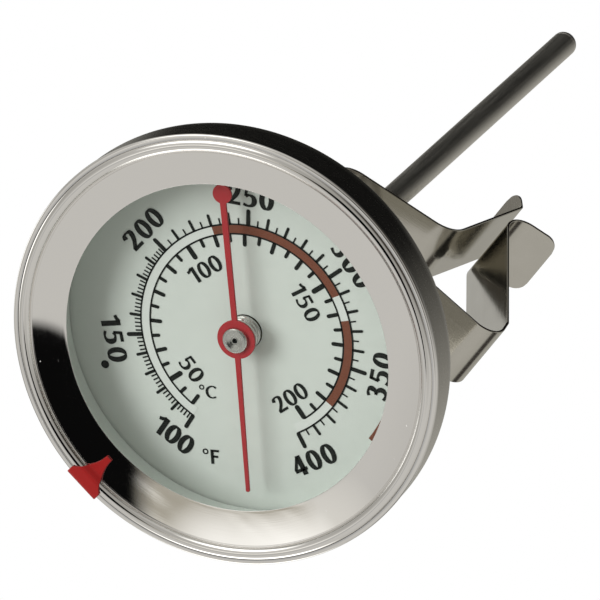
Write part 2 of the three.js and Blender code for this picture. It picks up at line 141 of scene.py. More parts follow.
def make_camera():
    up_axis = Vector((0, 0, 1))
    outward = Vector((math.cos(CAMERA_AZIMUTH), math.sin(CAMERA_AZIMUTH), 0))
    back = math.cos(CAMERA_TILT) * up_axis + math.sin(CAMERA_TILT) * outward
    first = math.cos(CAMERA_TILT) * outward - math.sin(CAMERA_TILT) * up_axis
    second = back.cross(first)
    right = math.cos(CAMERA_ROLL) * first - math.sin(CAMERA_ROLL) * second
    up = math.sin(CAMERA_ROLL) * first + math.cos(CAMERA_ROLL) * second
    data = bpy.data.cameras.new("camera")
    data.lens = CAMERA_LENS
    data.sensor_width = CAMERA_SENSOR
    data.clip_start, data.clip_end = CAMERA_CLIP
    camera = bpy.data.objects.new("camera", data)
    bpy.context.scene.collection.objects.link(camera)
    offset = CAMERA_DISTANCE * back + CAMERA_RIGHT * right + CAMERA_UP * up
    matrix = Matrix((right, up, back)).transposed().to_4x4()
    matrix.translation = ORIGIN + offset * MM
    camera.matrix_world = matrix
    bpy.context.scene.camera = camera


make_camera()

# ---- shader helpers ----

NOISE_LOW, NOISE_HIGH = 0.3, 0.7  # the span that most of a noise lies in


class Shade:
    """A node tree with short calls to add and join nodes."""

    def __init__(self, tree):
        self.tree = tree
        tree.nodes.clear()

    def add(self, kind, settings=(), **inputs):
        node = self.tree.nodes.new(kind)
        for name, value in dict(settings).items():
            setattr(node, name, value)
        for name, value in inputs.items():
            key = int(name[1:]) if name[0] == "i" and name[1:].isdigit() else name.replace("_", " ")
            self.put(node.inputs[key], value)
        return node

    def put(self, socket, value):
        if isinstance(value, bpy.types.NodeSocket):
            self.tree.links.new(value, socket)
        else:
            socket.default_value = value

    def math(self, operation, a, b=0.0):
        return self.add("ShaderNodeMath", {"operation": operation}, i0=a, i1=b).outputs[0]

    def ramp(self, value, from_low, from_high, to_low, to_high):
        node = self.add("ShaderNodeMapRange", {"clamp": True}, Value=value)
        for name, number in zip(("From Min", "From Max", "To Min", "To Max"),
                                (from_low, from_high, to_low, to_high)):
            node.inputs[name].default_value = number
        return node.outputs[0]

    def mix(self, factor, a, b):
        node = self.add("ShaderNodeMix", {"data_type": "RGBA"})
        self.put(node.inputs[0], factor)
        self.put(node.inputs[6], a)
        self.put(node.inputs[7], b)
        return node.outputs[2]

    def noise(self, vector, scale, detail=4.0, roughness=0.55):
        node = self.add("ShaderNodeTexNoise", Vector=vector, Scale=scale, Detail=detail,
                        Roughness=roughness)
        return node.outputs[0]

    def bump(self, height, strength, distance):
        node = self.add("ShaderNodeBump", Height=height, Strength=strength, Distance=distance)
        return node.outputs[0]


def blank_material(name):
    """A new material, and the Shade of its empty node tree."""
    material = bpy.data.materials.new(name)
    material.use_nodes = True
    return material, Shade(material.node_tree)


def principled(name, base, metallic=0.0, roughness=0.5, **constants):
    """(material, shade, shader), new. Constants go straight on the shader's sockets."""
    material, shade = blank_material(name)
    shader = shade.add("ShaderNodeBsdfPrincipled")
    shader.inputs["Base Color"].default_value = (*base, 1)
    shader.inputs["Metallic"].default_value = metallic
    shader.inputs["Roughness"].default_value = roughness
    for key, value in constants.items():
        shader.inputs[key.replace("_", " ")].default_value = value
    output = shade.add("ShaderNodeOutputMaterial")
    shade.put(output.inputs["Surface"], shader.outputs[0])
    return material, shade, shader


def tinted(shade, shader, mask, dark, light):
    shade.put(shader.inputs["Base Color"], shade.mix(mask, (*dark, 1), (*light, 1)))


def roughened(shade, shader, mask, low, high):
    """Roughness that follows the middle of a noise from low to high."""
    shade.put(shader.inputs["Roughness"], shade.ramp(mask, NOISE_LOW, NOISE_HIGH, low, high))


def bumped(shade, shader, height, strength, distance):
    shade.put(shader.inputs["Normal"], shade.bump(height, strength, distance))


def object_point(shade):
    return shade.add("ShaderNodeTexCoord").outputs["Object"]


def turned_point(shade, along, across):
    """Coordinates that run slowly round the stem's axis and fast across it, as turning marks do."""
    split = shade.add("ShaderNodeSeparateXYZ", Vector=object_point(shade))
    x, y, z = split.outputs
    flat = shade.add("ShaderNodeCombineXYZ", X=x, Y=y).outputs[0]
    radius = shade.add("ShaderNodeVectorMath", {"operation": "LENGTH"}, i0=flat).outputs["Value"]
    away = shade.math("MULTIPLY", shade.math("ADD", radius, z), across)
    return shade.add(
        "ShaderNodeCombineXYZ",
        X=shade.math("MULTIPLY", shade.math("DIVIDE", x, radius), along),
        Y=shade.math("MULTIPLY", shade.math("DIVIDE", y, radius), along),
        Z=away,
    ).outputs[0]


def stretched_point(shade, x, y, z):
    mapping = shade.add("ShaderNodeMapping", Vector=object_point(shade))
    mapping.inputs["Scale"].default_value = (x, y, z)
    return mapping.outputs[0]


# ---- materials ----


def polished_steel():
    """Mirror bezel: faint turning marks, soft smears and a few grains of dust."""
    material, shade, shader = principled("polished_steel", (0.9, 0.885, 0.865), 1.0, 0.06)
    marks = shade.noise(turned_point(shade, 3.0, 9000.0), 1.0, 3.0)
    smears = shade.noise(object_point(shade), 90.0, 3.0)
    from_marks = shade.ramp(marks, 0.3, 0.8, 0.0, 0.02)
    rough = shade.math("ADD", from_marks, shade.ramp(smears, 0.4, 0.75, 0.015, 0.05))
    cells = shade.add("ShaderNodeTexVoronoi", Vector=object_point(shade), Scale=620.0)
    grain = shade.math("LESS_THAN", cells.outputs["Distance"], 0.085)
    chosen = shade.math("GREATER_THAN", shade.noise(object_point(shade), 300.0, 2.0), 0.64)
    dust = shade.math("MULTIPLY", grain, chosen)
    dusty = shade.math("ADD", rough, shade.math("MULTIPLY", dust, 0.6))
    shade.put(shader.inputs["Roughness"], dusty)
    shade.put(shader.inputs["Metallic"], shade.math("SUBTRACT", 1.0, dust))
    tinted(shade, shader, dust, (0.9, 0.885, 0.865), (0.75, 0.74, 0.72))
    bumped(shade, shader, marks, 0.05, 0.00002)
    return material


def satin_steel():
    """Drawn steel case: circular grain under a fine speckle."""
    material, shade, shader = principled("satin_steel", (0.62, 0.6, 0.555), 1.0, 0.3)
    grain = shade.noise(turned_point(shade, 14.0, 5200.0), 1.0, 5.0, 0.65)
    speckle = shade.noise(object_point(shade), 3600.0, 3.0)
    both = shade.math("ADD", *[shade.math("MULTIPLY", part, 0.5) for part in (grain, speckle)])
    roughened(shade, shader, both, 0.17, 0.3)
    tinted(shade, shader, both, (0.54, 0.52, 0.48), (0.72, 0.7, 0.65))
    bumped(shade, shader, both, 0.28, 0.00004)
    return material


def stem_steel():
    """Drawn tube: long grain with faint rings and handling marks."""
    material, shade, shader = principled("stem_steel", (0.82, 0.8, 0.76), 1.0, 0.25)
    grain = shade.noise(stretched_point(shade, 5200.0, 5200.0, 90.0), 1.0, 4.0)
    smears = shade.noise(object_point(shade), 160.0, 4.0)
    roughened(shade, shader, grain, 0.34, 0.48)
    tinted(shade, shader, smears, (0.76, 0.74, 0.69), (0.88, 0.86, 0.81))
    bumped(shade, shader, grain, 0.15, 0.00003)
    return material


def spring_steel():
    """Rolled strip: grain along its length, slightly warm, with soft blotches."""
    material, shade, shader = principled("spring_steel", (0.6, 0.58, 0.53), 1.0, 0.25)
    grain = shade.noise(stretched_point(shade, 70.0, 5200.0, 70.0), 1.0, 4.0)
    blotches = shade.noise(object_point(shade), 130.0, 4.0)
    roughened(shade, shader, grain, 0.11, 0.2)
    tinted(shade, shader, blotches, (0.54, 0.52, 0.465), (0.66, 0.64, 0.585))
    bumped(shade, shader, grain, 0.14, 0.00003)
    return material


def plated_metal(name, dark, light, roughness):
    """Turned metal for hidden and small pieces."""
    material, shade, shader = principled(name, light, 1.0, roughness)
    marks = shade.noise(turned_point(shade, 4.0, 6000.0), 1.0, 3.0)
    tinted(shade, shader, marks, dark, light)
    roughened(shade, shader, marks, roughness * 0.7, roughness * 1.3)
    bumped(shade, shader, marks, 0.15, 0.00003)
    return material


def painted(name, dark, light, roughness, coat, ripple):
    """Paint with slight orange peel, and colour that varies a little."""
    material, shade, shader = principled(
        name, light, 0.0, roughness, Coat_Weight=coat, Coat_Roughness=0.12, Specular_IOR_Level=0.3
    )
    clouds = shade.noise(object_point(shade), 420.0, 4.0)
    peel = shade.noise(object_point(shade), 5200.0, 2.0)
    tinted(shade, shader, clouds, dark, light)
    roughened(shade, shader, peel, roughness * 0.85, roughness * 1.15)
    bumped(shade, shader, peel, ripple, 0.00002)
    return material


def ink(name, dark, light):
    """Screen-printed ink, a little uneven."""
    material, shade, shader = principled(name, light, 0.0, 0.5, Specular_IOR_Level=0.2)
    mottle = shade.noise(object_point(shade), 2600.0, 3.0)
    tinted(shade, shader, mottle, dark, light)
    roughened(shade, shader, mottle, 0.4, 0.6)
    return material


def rubber():
    material, shade, shader = principled("gasket_rubber", (0.012, 0.012, 0.012), 0.0, 0.7)
    grain = shade.noise(object_point(shade), 4200.0, 3.0)
    tinted(shade, shader, grain, (0.009, 0.009, 0.009), (0.02, 0.02, 0.02))
    bumped(shade, shader, grain, 0.2, 0.00004)
    return material


WINDOW_IOR = 1.25  # below real glass, so that its veil over the dial stays faint


def window_glass():
    """A thin pane whose outer faces shine by Fresnel, and which bends nothing behind it."""
    material, shade = blank_material("window_glass")
    smears = shade.noise(object_point(shade), 110.0, 3.0)
    clear = shade.add("ShaderNodeBsdfTransparent")
    clear.inputs["Color"].default_value = (0.985, 0.995, 0.99, 1)
    shine = shade.add("ShaderNodeBsdfPrincipled", Roughness=shade.ramp(smears, 0.4, 0.8, 0.0, 0.03))
    shine.inputs["Base Color"].default_value = (0.95, 0.96, 0.955, 1)
    shine.inputs["Metallic"].default_value = 1.0
    edge = shade.add("ShaderNodeFresnel", IOR=WINDOW_IOR)
    inside = shade.add("ShaderNodeNewGeometry").outputs["Backfacing"]
    strength = shade.math("MULTIPLY", edge.outputs[0], shade.math("SUBTRACT", 1.0, inside))
    both = shade.add("ShaderNodeMixShader", i0=strength, i1=clear.outputs[0], i2=shine.outputs[0])
    shade.put(shade.add("ShaderNodeOutputMaterial").inputs["Surface"], both.outputs[0])
    return material


MATERIALS = {
    "polished": polished_steel(),
    "satin": satin_steel(),
    "stem": stem_steel(),
    "spring": spring_steel(),
    "nickel": plated_metal("nickel", (0.5, 0.49, 0.47), (0.75, 0.74, 0.71), 0.22),
    "brass": plated_metal("brass", (0.5, 0.36, 0.13), (0.66, 0.5, 0.22), 0.3),
    "bimetal": plated_metal("bimetal", (0.38, 0.31, 0.23), (0.55, 0.47, 0.37), 0.35),
    "dial": painted("dial_paint", (0.61, 0.645, 0.605), (0.665, 0.7, 0.66), 0.42, 0.0, 0.03),
    "surround": painted("surround_plastic", (0.74, 0.79, 0.75), (0.8, 0.85, 0.81), 0.4, 0.0, 0.08),
    "track": painted("track_paint", (0.66, 0.69, 0.655), (0.71, 0.735, 0.705), 0.42, 0.0, 0.03),
    "pointer": painted("pointer_paint", (0.35, 0.022, 0.028), (0.42, 0.029, 0.035), 0.35, 0.2,
                       0.06),
    "marker": painted("marker_paint", (0.31, 0.008, 0.008), (0.35, 0.011, 0.01), 0.42, 0.0, 0.05),
    "black_ink": ink("black_ink", (0.006, 0.008, 0.007), (0.011, 0.014, 0.012)),
    "brown_ink": ink("brown_ink", (0.16, 0.054, 0.033), (0.21, 0.074, 0.044)),
    "rubber": rubber(),
    "glass": window_glass(),
}

# ---- mesh helpers ----

SHARP_ANGLE = 32.0  # an edge that turns more than this shows as a crease
BEVEL_ANGLE = 40


def rounded(points, closed=False, step=9.0):
    """Points [x, z, radius] with an arc at each corner that has a radius, as [x, z]."""
    line = []
    count = len(points)
    for i, point in enumerate(points):
        here = Vector(point[:2])
        radius = point[2] if len(point) > 2 else 0
        if not radius or (not closed and i in (0, count - 1)):
            line.append(tuple(here))
            continue
        before = (Vector(points[i - 1][:2]) - here).normalized()
        after = (Vector(points[(i + 1) % count][:2]) - here).normalized()
        half = math.acos(max(-1.0, min(1.0, before.dot(after)))) / 2
        centre = here + (before + after).normalized() * (radius / math.sin(half))
        start = here + before * (radius / math.tan(half)) - centre
        turn = (math.pi - 2 * half) * math.copysign(1, before.x * after.y - before.y * after.x)
        steps = max(2, math.ceil(abs(math.degrees(turn)) / step))
        for k in range(steps + 1):
            spin = Matrix.Rotation(-turn * k / steps, 2)
            line.append(tuple(centre + spin @ start))
    return line


def circle_arc(x, z, radius, start, end, steps):
    angles = [math.radians(start + (end - start) * i / steps) for i in range(steps + 1)]
    return [(x + radius * math.cos(a), z + radius * math.sin(a)) for a in angles]


def new_object(name, bm):
    """An object in the scene with the mesh in bm, which is freed."""
    mesh = bpy.data.meshes.new(name)
    bm.to_mesh(mesh)
    bm.free()
    made = bpy.data.objects.new(name, mesh)
    bpy.context.scene.collection.objects.link(made)
    return made


def make_piece(name, bm, material, body, stands_for=(), azimuth=0.0):
    """A piece from a mesh in millimetres about the stem's axis, which may ride on a body."""
    bmesh.ops.scale(bm, vec=(MM, MM, MM), verts=bm.verts)
    piece = new_object(name, bm)
    mesh = piece.data
    mesh.polygons.foreach_set("use_smooth", [True] * len(mesh.polygons))
    mesh.set_sharp_from_angle(angle=math.radians(SHARP_ANGLE))
    mesh.materials.append(MATERIALS[material])
    piece.location = ORIGIN
    piece.rotation_euler.z = math.radians(azimuth)
    if body:
        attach(piece, body)
    if stands_for:
        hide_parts(*stands_for)
    return piece


def lathe(outline, closed=True, segments=SEGMENTS):
    """A body turned about the stem's axis from [radius, z]."""
    bm = bmesh.new()
    rings = []
    for i in range(segments):
        a = 2 * math.pi * i / segments
        rings.append([bm.verts.new((r * math.cos(a), r * math.sin(a), z)) for r, z in outline])
    count = len(outline)
    for i, ring in enumerate(rings):
        ahead = rings[(i + 1) % segments]
        for k in range(count if closed else count - 1):
            m = (k + 1) % count
            bm.faces.new((ring[k], ahead[k], ahead[m], ring[m]))
    bmesh.ops.remove_doubles(bm, verts=bm.verts, dist=1e-5)
    bmesh.ops.recalc_face_normals(bm, faces=bm.faces)
    return bm


def plate(outlines, bottom, top):
    """Flat solids from outlines of [x, y], each between two heights."""
    bm = bmesh.new()
    for outline in outlines:
        low = [bm.verts.new((x, y, bottom)) for x, y in outline]
        high = [bm.verts.new((x, y, top)) for x, y in outline]
        bm.faces.new(high)
        bm.faces.new(low[::-1])
        for i in range(len(outline)):
            k = (i + 1) % len(outline)
            bm.faces.new((low[i], low[k], high[k], high[i]))
    bmesh.ops.recalc_face_normals(bm, faces=bm.faces)
    return bm


def add_bevel(piece, width, segments=2):
    bevel = piece.modifiers.new("edges", "BEVEL")
    bevel.width = width * MM
    bevel.segments = segments
    bevel.limit_method = "ANGLE"
    bevel.angle_limit = math.radians(BEVEL_ANGLE)
    bevel.harden_normals = True


# ---- case, bezel and window ----


def case_shell():
    inner = CASE_R - CASE_WALL
    hole = NECK_R + 0.3
    centre = (CASE_R - CASE_CORNER, CASE_BACK + CASE_CORNER)
    outline = [(hole, CASE_BACK)]
    outline += circle_arc(*centre, CASE_CORNER, -90, 0, 22)
    outline += rounded([
        (CASE_R, 0.1),
        (CASE_R, 0.25, 0.15),
        (LIP_R, 0.42, 0.12),
        (LIP_R, LIP_TOP, 0.38),
        (inner, LIP_TOP),
        (inner, 0.2),
    ])[1:]
    outline += circle_arc(*centre, CASE_CORNER - CASE_WALL, 0, -90, 16)
    outline.append((hole, CASE_BACK + CASE_WALL))
    shell = make_piece("case_shell_fine", lathe(outline), "satin", "head",
                       ["case_shell"])
    shell.data.materials.append(MATERIALS["polished"])
    for polygon in shell.data.polygons:
        polygon.material_index = int(polygon.center.z > LIP_START * MM)


def flange_curve(hollow=0.13, steps=14):
    """The flange's face, dished a little so that it steepens towards the bead."""
    inner, outer = OPENING_R + 0.12, FLANGE_R - 0.12
    points = []
    for i in range(steps + 1):
        t = i / steps
        height = FLANGE_RISE * (t - hollow * t * (1 - t))
        points.append((inner + (outer - inner) * t, 0.01 + (1 - 0.03) * height))
    return points


def bead_crown(steps=20):
    """The bead's rounded top, from its foot on the flange out to the shell's lip."""
    inner, rise = FLANGE_R + BEAD_INSET, BEAD_TOP - BEAD_FOOT
    middle, half = (inner + BEAD_R) / 2, (BEAD_R - inner) / 2
    angles = [math.pi * i / steps for i in range(steps + 1)]
    return [(middle - half * math.cos(a), BEAD_FOOT + rise * math.sin(a)) for a in angles]


def bezel_ring():
    skirt_in = BEZEL_R - 0.5
    outline = rounded([
        (OPENING_R + 0.32, -0.5),
        (OPENING_R, 0.0, 0.06),
        *flange_curve(),
        (FLANGE_R - 0.04, FLANGE_RISE - 0.14, 0.04),
        (FLANGE_R + 0.14, FLANGE_RISE - 0.1, 0.08),
        *bead_crown(),
        (BEZEL_R, 0.45),
        (BEZEL_R, -3.0),
        (skirt_in, -3.0),
        (skirt_in, 0.5, 0.3),
        (FLANGE_R + 0.3, 0.15, 0.3),
        (OPENING_R + 0.55, -0.6),
    ], closed=True)
    make_piece("bezel_ring_fine", lathe(outline), "polished", "head",
               ["bezel_ring"])


def window():
    top, bottom = level("lens_glass", 1), level("lens_glass", 0)
    outline = rounded([(0, bottom), (GLASS_R, bottom, 0.1), (GLASS_R, top, 0.1), (0, top)])
    make_piece("window_pane", lathe(outline, closed=False), "glass", "head",
               ["lens_glass"])


def dial_surround():
    top, bottom = level("dial_surround", 1), level("dial_surround", 0)
    outline = rounded([
        (SURROUND_IN, bottom),
        (SURROUND_OUT, bottom),
        (SURROUND_OUT, top),
        (SURROUND_IN, top, 0.35),
    ], closed=True)
    make_piece("surround_fine", lathe(outline), "surround", "head",
               ["dial_surround"])


def dial_plate():
    bottom = level("dial_plate", 0)
    hole = NECK_R + 0.06
    outline = [(hole, bottom), (DIAL_R, bottom), (DIAL_R, DIAL_TOP), (hole, DIAL_TOP)]
    make_piece("dial_plate_fine", lathe(outline), "dial", "head", ["dial_plate"])


# ---- printed dial ----

READS_UP = 130.4  # azimuth that the printing's upright lettering points to
PRINT_CENTRE = Vector((0.19, 0.05))  # the print sits a little off the stem's axis
OUTER_ARC_R = 16.80
INNER_ARC_R = 15.32
PRINT_LIFT = 0.02
PRINT_THICK = 0.02
# value: azimuth and radius of its numeral's middle, and the extra space between its digits
FAHRENHEIT_NUMERALS = {
    100: (274.1, 21.5, -0.1),
    150: (227.7, 21.4, 0.04),
    200: (175.5, 21.2, -0.02),
    250: (123.7, 21.2, -0.02),
    300: (74.0, 21.3, -0.02),
    350: (25.9, 21.6, 0.0),
    400: (-23.7, 21.6, -0.02),
}
CELSIUS_NUMERALS = {
    50: (256.5, 11.2, -0.02),
    100: (161.8, 10.9, -0.04),
    150: (68.1, 11.2, 0.0),
    200: (-16.6, 11.75, -0.06),
}
OUTWARD_NUMERALS = {200, 250, 300}
OUTWARD_CELSIUS = {100, 150}
# a numeral's height, and its thick and thin strokes as shares of that
FAHRENHEIT_TYPE = (3.1, 0.262, 0.105)
CELSIUS_TYPE = (2.55, 0.22, 0.095)
UNIT_STROKES = (0.21, 0.1)
# how far a scale's long, middle and short marks reach in and out from its arc, and their widths
FAHRENHEIT_MARKS = [(0.1, 2.55, 0.64), (0.1, 1.85, 0.44), (0.0, 1.0, 0.23)]
CELSIUS_MARKS = [(2.35, 0.1, 0.78), (1.9, 0.1, 0.6), (1.35, 0.1, 0.52)]
ARC_HALF = 0.13  # half the width of a printed arc
BROWN_STRETCHES = [(230, 310.3), (324.2, 374.5)]  # °F, between the two arcs
BROWN_OUTER = (23.75, 26.0)  # radii of the brown band outside the numerals
LOCATING_HOLE_SHADE = (23.5, 24.8, -123.2, 1.29)  # painted shade of the locating hole, a black mark where no hole is cut: inner and outer radius, azimuth, width


def fahrenheit(value):
    """The azimuth of a mark: a degree of arc for each °F, but slightly more from 200 to 250."""
    stretch = 0.6 * max(0.0, min(1.0, (value - 200) / 50))
    return 375.67 - value - stretch


def celsius(value):
    return fahrenheit(value * 1.8 + 32)


def spoke(azimuth):
    a = math.radians(azimuth)
    return Vector((math.cos(a), math.sin(a)))


def polar(radius, azimuth):
    return tuple(PRINT_CENTRE + radius * spoke(azimuth))


def tick(inner, outer, azimuth, width, round_ends=True):
    """The outline of a radial mark, with half-round ends where it is bold."""
    along = spoke(azimuth)
    across = Vector((-along.y, along.x))
    half = width / 2
    points = []
    if round_ends:
        for centre, start in ((outer - half, -90), (inner + half, 90)):
            for i in range(7):
                t = math.radians(start + 30 * i)
                points.append(along * (centre + half * math.cos(t)) + across * (half * math.sin(t)))
    else:
        corners = [(inner, -half), (outer, -half), (outer, half), (inner, half)]
        points = [along * r + across * w for r, w in corners]
    return [tuple(PRINT_CENTRE + p) for p in points]


def band(inner, outer, start, end):
    """The outline of a stretch of ring between two azimuths."""
    steps = max(2, math.ceil(abs(end - start) / 1.5))
    azimuths = [start + (end - start) * i / steps for i in range(steps + 1)]
    return [polar(outer, a) for a in azimuths] + [polar(inner, a) for a in reversed(azimuths)]


def band_strips(inner, outer, start, end):
    """The same ring stretch as short pieces, so that each is convex."""
    steps = max(1, math.ceil(abs(end - start) / 2.0))
    cuts = [start + (end - start) * i / steps for i in range(steps + 1)]
    return [band(inner, outer, a, b) for a, b in zip(cuts, cuts[1:])]


def smooth_line(points, closed):
    """A Catmull-Rom line through points."""
    count = len(points)
    line = []
    spans = count if closed else count - 1
    for i in range(spans):
        ids = [i - 1, i, i + 1, i + 2]
        if closed:
            p = [Vector(points[k % count]) for k in ids]
        else:
            p = [Vector(points[max(0, min(count - 1, k))]) for k in ids]
        for step in range(6):
            t = step / 6
            square = (2 * p[0] - 5 * p[1] + 4 * p[2] - p[3]) * t * t
            cube = (3 * p[1] - p[0] - 3 * p[2] + p[3]) * t ** 3
            line.append(0.5 * (2 * p[1] + (p[2] - p[0]) * t + square + cube))
    if not closed:
        line.append(Vector(points[-1]))
    return line


def pen_stroke(points, closed=False, thick=0.2, thin=0.075, curved=True):
    """Quads of a broad-pen stroke, which is widest where it runs up and down."""
    line = smooth_line(points, closed) if curved else [Vector(p) for p in points]
    count = len(line)
    sides = []
    for i, point in enumerate(line):
        back = line[i - 1] if closed or i else line[0]
        ahead = line[(i + 1) % count] if closed or i < count - 1 else line[-1]
        along = (ahead - back).normalized()
        width = thin + (thick - thin) * abs(along.y) ** 1.4
        across = Vector((-along.y, along.x)) * (width / 2)
        sides.append((tuple(point + across), tuple(point - across)))
    quads = []
    for i in range(count if closed else count - 1):
        (a, b), (c, d) = sides[i], sides[(i + 1) % count]
        quads.append([a, b, d, c])
    return quads


def ellipse(cx, cy, rx, ry, count=12):
    turn = 2 * math.pi / count
    return [(cx + rx * math.cos(turn * i), cy + ry * math.sin(turn * i)) for i in range(count)]


def glyph_strokes(character, thick, thin):
    """The glyph's advance and its strokes, on a height of 1."""
    pen = {"thick": thick, "thin": thin}
    stem = {"thick": thick, "thin": thick, "curved": False}
    bar = {"thick": thin * 1.6, "thin": thin * 1.6, "curved": False}
    flag = {"thick": thin * 1.7, "thin": thin * 1.7}
    edge = thin / 2
    side = thick / 2
    if character == "0":
        return 0.875, [(ellipse(0.365, 0.5, 0.375 - side, 0.5 - edge), dict(pen, closed=True))]
    if character == "1":
        return 0.72, [
            ([(0.39, 0.0), (0.39, 1.0)], stem),
            ([(0.0, 0.79), (0.16, 0.84), (0.33, 0.96)], flag),
        ]
    if character == "2":
        curve = [(0.07, 0.72), (0.13, 0.89), (0.31, 1 - edge), (0.48, 0.89), (0.51, 0.72),
                 (0.4, 0.46), (0.22, 0.25), (0.07, 0.1)]
        return 0.84, [(curve, pen), ([(0.02, thin * 0.8), (0.66, thin * 0.8)], bar)]
    if character == "3":
        top = [(0.07, 0.87), (0.25, 1 - edge), (0.42, 0.9), (0.46, 0.76), (0.38, 0.6), (0.2, 0.53)]
        foot = [(0.2, 0.53), (0.42, 0.47), (0.52, 0.3), (0.44, 0.11), (0.25, edge), (0.03, 0.12)]
        return 0.84, [(top, pen), (foot, pen)]
    if character == "4":
        return 0.86, [
            ([(0.46, 0.98), (0.06, 0.32)], dict(bar, thick=thick * 0.6, thin=thick * 0.6)),
            ([(0.02, 0.28), (0.7, 0.28)], bar),
            ([(0.48, 0.0), (0.48, 1.0)], stem),
        ]
    if character == "5":
        bowl = [(0.1, 0.53), (0.27, 0.6), (0.47, 0.53), (0.55, 0.33), (0.46, 0.13), (0.24, edge),
                (0.0, 0.12)]
        return 0.82, [
            ([(0.11, 1 - thin * 0.8), (0.59, 1 - thin * 0.8)], bar),
            ([(0.15, 0.97), (0.1, 0.53)], dict(stem, thick=thick * 0.55, thin=thick * 0.55)),
            (bowl, pen),
        ]
    if character == "C":
        curve = [(0.84, 0.84), (0.64, 0.95), (0.4, 0.93), (0.16, 0.75), (0.1, 0.45), (0.24, 0.16),
                 (0.5, 0.05), (0.8, 0.13)]
        return 0.95, [(curve, pen)]
    if character == "F":
        return 0.7, [
            ([(0.16, 0.0), (0.16, 1.0)], stem),
            ([(0.16, 1 - thin * 0.8), (0.66, 1 - thin * 0.8)], bar),
            ([(0.16, 0.52), (0.58, 0.52)], bar),
        ]
    ring = ellipse(0.2, 0.84, 0.16, 0.16)
    return 0.5, [(ring, {"thick": 0.085, "thin": 0.085, "closed": True})]


def lettering(text, middle, height, up, thick, thin, spacing=0.0):
    """Outlines of a short line of text, centred at a place on the dial."""
    glyphs = [glyph_strokes(c, thick, thin) for c in text]
    last_gap = 0.15
    total = sum(advance for advance, _ in glyphs) + spacing * (len(text) - 1) - last_gap
    right = Vector((up.y, -up.x))
    pen_x = -total / 2
    shapes = []
    for advance, strokes in glyphs:
        for points, style in strokes:
            for quad in pen_stroke(points, **style):
                corners = [right * (pen_x + x) + up * (y - 0.5) for x, y in quad]
                shapes.append([tuple(middle + height * corner) for corner in corners])
        pen_x += advance + spacing
    return shapes


def numerals(places, outward, height, thick, thin):
    shapes = []
    for value, (azimuth, radius, spacing) in places.items():
        up = spoke(azimuth) if value in outward else -spoke(azimuth)
        shapes += lettering(str(value), radius * spoke(azimuth), height, up, thick, thin, spacing)
    return shapes


def scale_marks(values, azimuth_at, edge, sizes, round_short):
    """Marks along an arc: long at each 50, middling at each 10, and short between."""
    shapes = []
    for value in values:
        rank = 0 if value % 50 == 0 else 1 if value % 10 == 0 else 2
        inward, outward, width = sizes[rank]
        round_ends = rank < 2 or round_short
        shapes.append(tick(edge - inward, edge + outward, azimuth_at(value), width, round_ends))
    return shapes


def fahrenheit_scale():
    values = list(range(100, 200, 2)) + list(range(200, 401, 5))
    marks = scale_marks(values, fahrenheit, OUTER_ARC_R, FAHRENHEIT_MARKS, False)
    return marks + numerals(FAHRENHEIT_NUMERALS, OUTWARD_NUMERALS, *FAHRENHEIT_TYPE)


def celsius_scale():
    marks = scale_marks(range(40, 201, 5), celsius, INNER_ARC_R, CELSIUS_MARKS, True)
    return marks + numerals(CELSIUS_NUMERALS, OUTWARD_CELSIUS, *CELSIUS_TYPE)


def unit_marks():
    up = spoke(READS_UP)
    right = Vector((up.y, -up.x))
    shapes = []
    for text, right_by, up_by, height in (("°C", -6.8, -10.0, 2.0), ("°F", -7.15, -20.25, 2.25)):
        shapes += lettering(text, right * right_by + up * up_by, height, up, *UNIT_STROKES)
    return shapes


def print_layer(name, outlines, low, finish):
    """One layer of print, which starts at a height."""
    make_piece(name, plate(outlines, low, low + PRINT_THICK), finish, "head")


def printed_dial():
    """Three layers of print, each lying on the one before; the black layer also holds the locating
    hole's painted shade.
    """
    start, end = fahrenheit(100), fahrenheit(400)
    low = DIAL_TOP + PRINT_LIFT
    print_layer("dial_track", band_strips(INNER_ARC_R, OUTER_ARC_R, start, end), low, "track")
    brown = []
    for first, last in BROWN_STRETCHES:
        brown += band_strips(INNER_ARC_R, OUTER_ARC_R, fahrenheit(first), fahrenheit(last))
    first, last = BROWN_STRETCHES[0][0], BROWN_STRETCHES[-1][1]
    brown += band_strips(*BROWN_OUTER, fahrenheit(first), fahrenheit(last))
    low += PRINT_THICK
    print_layer("dial_print_brown", brown, low, "brown_ink")
    marks = band_strips(OUTER_ARC_R - ARC_HALF, OUTER_ARC_R + ARC_HALF, start, end)
    marks += band_strips(INNER_ARC_R - ARC_HALF, INNER_ARC_R + ARC_HALF, celsius(40), celsius(200))
    # a black ink mark painted as the locating hole's shade; the dial has no hole cut there
    marks.append(tick(*LOCATING_HOLE_SHADE))
    marks += fahrenheit_scale() + celsius_scale() + unit_marks()
    low += PRINT_THICK
    print_layer("dial_print_black", marks, low, "black_ink")


# ---- bushing, pointer and stem ----


def stem_bushing():
    top, end = level("stem_bushing", 1), level("stem_bushing", 0)
    flange_top = CASE_BACK - 1.0
    flange_bottom = flange_top - 1.2
    bore, socket_in, socket_out, flange_r = 1.35, 2.35, 3.2, 5.0
    root, crest, pitch = NECK_R - 0.3, NECK_R - 0.02, 0.92
    thread = []
    z = DIAL_TOP + 0.05
    while z < top - 0.8:
        thread += [(root, z), (crest, z + 0.22), (crest, z + 0.62), (root, z + 0.84)]
        z += pitch
    outline = rounded([
        (socket_in, end),
        (socket_out, end, 0.15),
        (socket_out, flange_bottom, 0.3),
        (flange_r, flange_bottom, 0.2),
        (flange_r, flange_top, 0.15),
        (NECK_R, flange_top),
    ]) + thread
    shoulder = flange_top - 0.5
    outline += [(NECK_R - 0.28, top), (bore, top), (bore, shoulder), (socket_in, shoulder)]
    make_piece("bushing_fine", lathe(outline, segments=SMALL_SEGMENTS), "nickel", "head",
               ["stem_bushing"])


HUB_DISH = 0.2  # the middle of the rivet below its top


